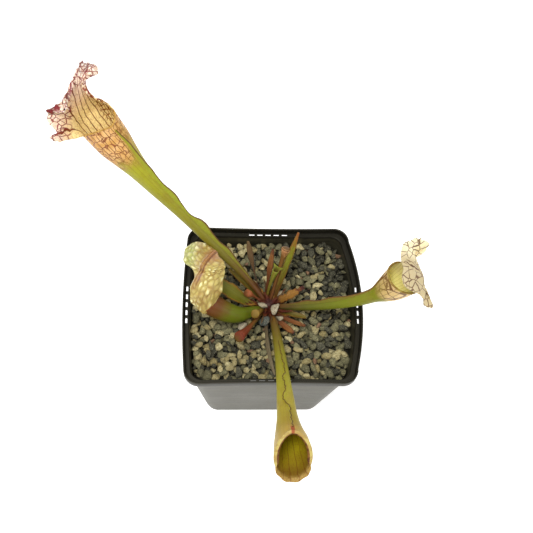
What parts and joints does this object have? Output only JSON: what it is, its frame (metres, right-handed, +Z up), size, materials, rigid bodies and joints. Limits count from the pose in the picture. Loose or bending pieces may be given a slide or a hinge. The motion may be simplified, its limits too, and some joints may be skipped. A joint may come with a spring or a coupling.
{
  "type": "potted_plant",
  "caption": "Small velvety pitcher plant with veined, hooded trumpet leaves, growing from grit in a square black plastic nursery pot.",
  "frame": {"origin": "Centre of the pot's flat underside, on the ground plane.", "axes": "+Z up, -Y towards the front of the pot, which is the side nearest the viewer in the picture, +X to the viewer's right."},
  "size_m": [0.1753, 0.1725, 0.1937],
  "materials": {
    "pot_plastic": "semi-matte charcoal black, moulded",
    "potting_mix": "dark, damp and loose",
    "grit": "loose cream, grey and green-grey stones, matte",
    "crown": "maroon-brown rootstock, matte",
    "leaf": "thin, lime to olive green with brown veins, softly glossy",
    "young_leaf": "thin, yellow-green to dull red, softly glossy",
    "dry_leaf": "dried, golden to orange-brown, matte"
  },
  "bodies": {
    "root": {"pot": "pot_plastic", "potting_mix": "potting_mix", "grit_dressing": "grit", "crown": "crown", "pitcher_tall": "leaf", "pitcher_right": "leaf", "pitcher_front": "leaf", "pitcher_left": "leaf", "young_pitcher_back": "young_leaf", "young_pitcher_green": "young_leaf", "young_pitcher_pink": "young_leaf", "young_pitcher_red": "young_leaf", "young_pitcher_yellow": "young_leaf", "leaf_left": "leaf", "leaf_back": "young_leaf", "leaf_orange_brown": "dry_leaf", "leaf_withered_tall": "dry_leaf", "leaf_olive": "leaf", "leaf_golden": "dry_leaf", "strap_upper": "dry_leaf", "strap_lower": "dry_leaf", "leaf_orange": "dry_leaf", "leaf_dry_front": "dry_leaf"}
  },
  "joints": []
}
